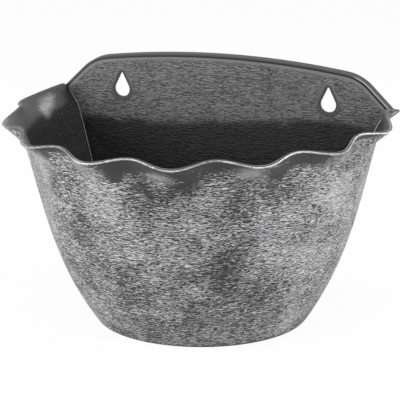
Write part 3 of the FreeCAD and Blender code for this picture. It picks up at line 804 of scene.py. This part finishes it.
def plateTone(add, calc, axes, grain):
    # above a wavy line the brush touched the plate lightly; below it, inside the bowl, the plastic
    # is bare and near-black as the painted shadow of the bowl's front wall, the line being both the
    # brush's edge and that shadow's edge; behind the plate the plastic is bare
    look = plateLook
    height, brush = grainNode(add, grain, look["grain"])[:2]
    patches = calc("SUBTRACT", brush, 0.5)
    line = calc("ADD", ramp(add, axes["X"], *look["paintAndShadowLine"]),
                calc("MULTIPLY", patches, look["lineWander"]))
    above = ramp(add, calc("SUBTRACT", axes["Z"], line), *look["lineFade"])
    tone = calc("ADD", height, calc("MULTIPLY", patches, look["uneven"]))
    brushed = mixColour(add, ramp(add, tone, *look["brushed"]), plastic["plateLow"],
                        plastic["plateHigh"])
    ridgeTop = tuple(look["bareShadeGain"] * part for part in plastic["plateBareShade"])
    bareShadeTone = mixColour(add, height, plastic["plateBareShade"], ridgeTop)
    behind = ramp(add, axes["Y"], *(plateFace + further for further in look["behind"]))
    front = mixColour(add, above, bareShadeTone, brushed)
    return mixColour(add, behind, front, plastic["back"]), height


def edgeTone(add, calc, axes, edge, colour):
    # above the bowl: a plain flange and rounding, shining on the right shoulder, then a thin dark
    # line at its foot and a paler band that fades into the grain
    look = plateLook
    band = mixColour(add, ramp(add, edge, *look["bandFade"]), plastic["band"], colour)
    line = mixColour(add, ramp(add, edge, *look["lineEdge"]), plastic["line"], band)
    sheenBand = calc("MULTIPLY", ramp(add, edge, *look["sheenIn"]),
                     ramp(add, edge, *look["sheenOut"]))
    shine = calc("MULTIPLY", ramp(add, axes["X"], *look["rightSlope"]), sheenBand)
    rounding = mixColour(add, shine, plastic["flange"], plastic["sheen"])
    upper = mixColour(add, ramp(add, edge, *look["roundingEnd"]), rounding, line)
    # beside the bowl's wall the rounding is a pale painted highlight, and beyond it the face keeps
    # the face's own colour
    lower = mixColour(add, ramp(add, edge, *look["seamEnd"]), plastic["seamHighlight"], colour)
    return mixColour(add, ramp(add, axes["Z"], *look["aboveBowl"]), lower, upper)


def borderTone(add, edge):
    # dark round the hole itself, paler over the border, palest where it rises from the face
    look = plateLook
    ringTone = mixColour(add, ramp(add, edge, *look["holeLine"]), plastic["border"],
                         plastic["borderLine"])
    return mixColour(add, ramp(add, edge, *look["haloEnd"]), plastic["halo"], ringTone)


def paintPlate(grain, name, kind):
    # one of the plate's finishes: its face, its edge or the border of a hole
    look = plateLook
    material, tree, add, shader = newMaterial(name)
    calc, axes = makeCalc(add), placeAxes(add)
    colour, height = plateTone(add, calc, axes, grain)
    edge = add("ShaderNodeAttribute", attribute_name="edgeZone").outputs["Fac"]
    if kind == "edge":
        colour = edgeTone(add, calc, axes, edge, colour)
    if kind == "border":
        colour = borderTone(add, edge)
    tree.links.new(colour, shader.inputs["Base Color"])
    shader.inputs["Roughness"].default_value = look["roughness"]
    shader.inputs["Specular IOR Level"].default_value = look["specular"]
    bump = add("ShaderNodeBump", {"Strength": look["relief"][kind], "Distance": look["bumpDepth"]},
               {"Height": height})
    tree.links.new(bump.outputs[0], shader.inputs["Normal"])
    return material


grain = makeGrain()
bowlPiece = buildBowl()
trayPiece, ribsPiece = buildPlate()
bowlPiece.data.materials.append(paintBowl(grain))
plateFinishes = [paintPlate(grain, name, kind) for name, kind in (
    ("darkPlastic", "face"), ("borderPlastic", "border"), ("edgePlastic", "edge"))]
for finish in plateFinishes:
    trayPiece.data.materials.append(finish)
ribsPiece.data.materials.append(plateFinishes[0])
for piece in (trayPiece, ribsPiece):
    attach(piece, "root")
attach(bowlPiece, "root")
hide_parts("bowl")
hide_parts("back_plate")
print("pieces dressed")

# floor, world, lamps and camera


def seenRays(add):
    # 1 for rays from the camera, in a reflection or through a clear piece
    path = add("ShaderNodeLightPath")
    calc = makeCalc(add)
    mirrored = calc("MAXIMUM", path.outputs["Is Camera Ray"], path.outputs["Is Glossy Ray"])
    return calc("MAXIMUM", mirrored, path.outputs["Is Transmission Ray"])


studio = dict(floorHalf=6.0, floorTone=0.82, floorWhite=0.96, softLight=0.28)


def makeStage():
    # a plain floor that looks white and still takes the object's shadow
    half = studio["floorHalf"]
    mesh = bpy.data.meshes.new("floor")
    corners = [(-half, -half, 0), (half, -half, 0), (half, half, 0), (-half, half, 0)]
    mesh.from_pydata(corners, [], [(0, 1, 2, 3)])
    floor = bpy.data.objects.new("floor", mesh)
    bpy.context.scene.collection.objects.link(floor)
    material = bpy.data.materials.new("paleFloor")
    material.use_nodes = True
    tree = material.node_tree
    tree.nodes.clear()
    add = nodeMaker(tree)
    seen = seenRays(add)
    white = add("ShaderNodeMath", {1: studio["floorWhite"]}, {0: seen}, operation="MULTIPLY")
    diffuse = add("ShaderNodeBsdfDiffuse", {"Color": (*[studio["floorTone"]] * 3, 1)})
    glow = add("ShaderNodeEmission", {"Color": (1, 1, 1, 1), "Strength": 1.0})
    mixed = add("ShaderNodeMixShader", None,
                {0: white.outputs[0], 1: diffuse.outputs[0], 2: glow.outputs[0]})
    add("ShaderNodeOutputMaterial", None, {"Surface": mixed.outputs[0]})
    mesh.materials.append(material)


def makeWorld():
    # white to look at, and a soft even light on the object
    world = bpy.data.worlds.new("studio")
    bpy.context.scene.world = world
    world.use_nodes = True
    tree = world.node_tree
    tree.nodes.clear()
    add = nodeMaker(tree)
    seen = seenRays(add)
    soft = add("ShaderNodeBackground", {"Color": (1, 1, 1, 1), "Strength": studio["softLight"]})
    white = add("ShaderNodeBackground", {"Color": (1, 1, 1, 1), "Strength": 1.0})
    mixed = add("ShaderNodeMixShader", None, {0: seen, 1: soft.outputs[0], 2: white.outputs[0]})
    add("ShaderNodeOutputWorld", None, {"Surface": mixed.outputs[0]})


lamps = dict(
    leftBox=dict(place=(-1.2, -0.9, 0.55), aim=(0, 0, 0.1), size=(0.7, 1.0), watts=26),
    rightBox=dict(place=(1.45, -0.35, 0.75), aim=(0, 0, 0.1), size=(0.7, 1.0), watts=22),
    topBox=dict(place=(0.1, -0.35, 1.5), aim=(0, 0, 0.1), size=(0.9, 0.6), watts=9),
)


def makeLamps():
    # large soft boxes, each turned to face its aim
    for name, lamp in lamps.items():
        data = bpy.data.lights.new(name, "AREA")
        data.shape = "RECTANGLE"
        data.size, data.size_y = lamp["size"]
        data.energy = lamp["watts"]
        item = bpy.data.objects.new(name, data)
        item.location = lamp["place"]
        away = Vector(lamp["place"]) - Vector(lamp["aim"])
        item.rotation_euler = away.to_track_quat("Z", "Y").to_euler()
        bpy.context.scene.collection.objects.link(item)


camera = dict(azimuth=19.24, elevation=15.78, roll=-0.11, distance=1.86848,
              aim=(0.00079, plateFace - 60 * mm, 0.09521), lens=215.34)


def makeCamera():
    # on a ball round its aim, at the photo's viewing angle, and tilted a little by the roll
    a, e, r = (math.radians(camera[key]) for key in ("azimuth", "elevation", "roll"))
    back = np.array([math.sin(a) * math.cos(e), -math.cos(a) * math.cos(e), math.sin(e)])
    level = np.array([math.cos(a), math.sin(a), 0])
    upright = np.cross(back, level)
    right = math.cos(r) * level + math.sin(r) * upright
    up = -math.sin(r) * level + math.cos(r) * upright
    place = np.array(camera["aim"]) + back * camera["distance"]
    data = bpy.data.cameras.new("camera")
    data.sensor_width = 36
    data.lens = camera["lens"]
    data.clip_start, data.clip_end = 0.05, 50
    item = bpy.data.objects.new("camera", data)
    item.matrix_world = Matrix(np.column_stack([right, up, back, place]).tolist() + [[0, 0, 0, 1]])
    bpy.context.scene.collection.objects.link(item)
    bpy.context.scene.camera = item


makeStage()
makeWorld()
makeLamps()
makeCamera()
bpy.context.scene.view_settings.view_transform = "Standard"
print("stage, lamps and camera set")
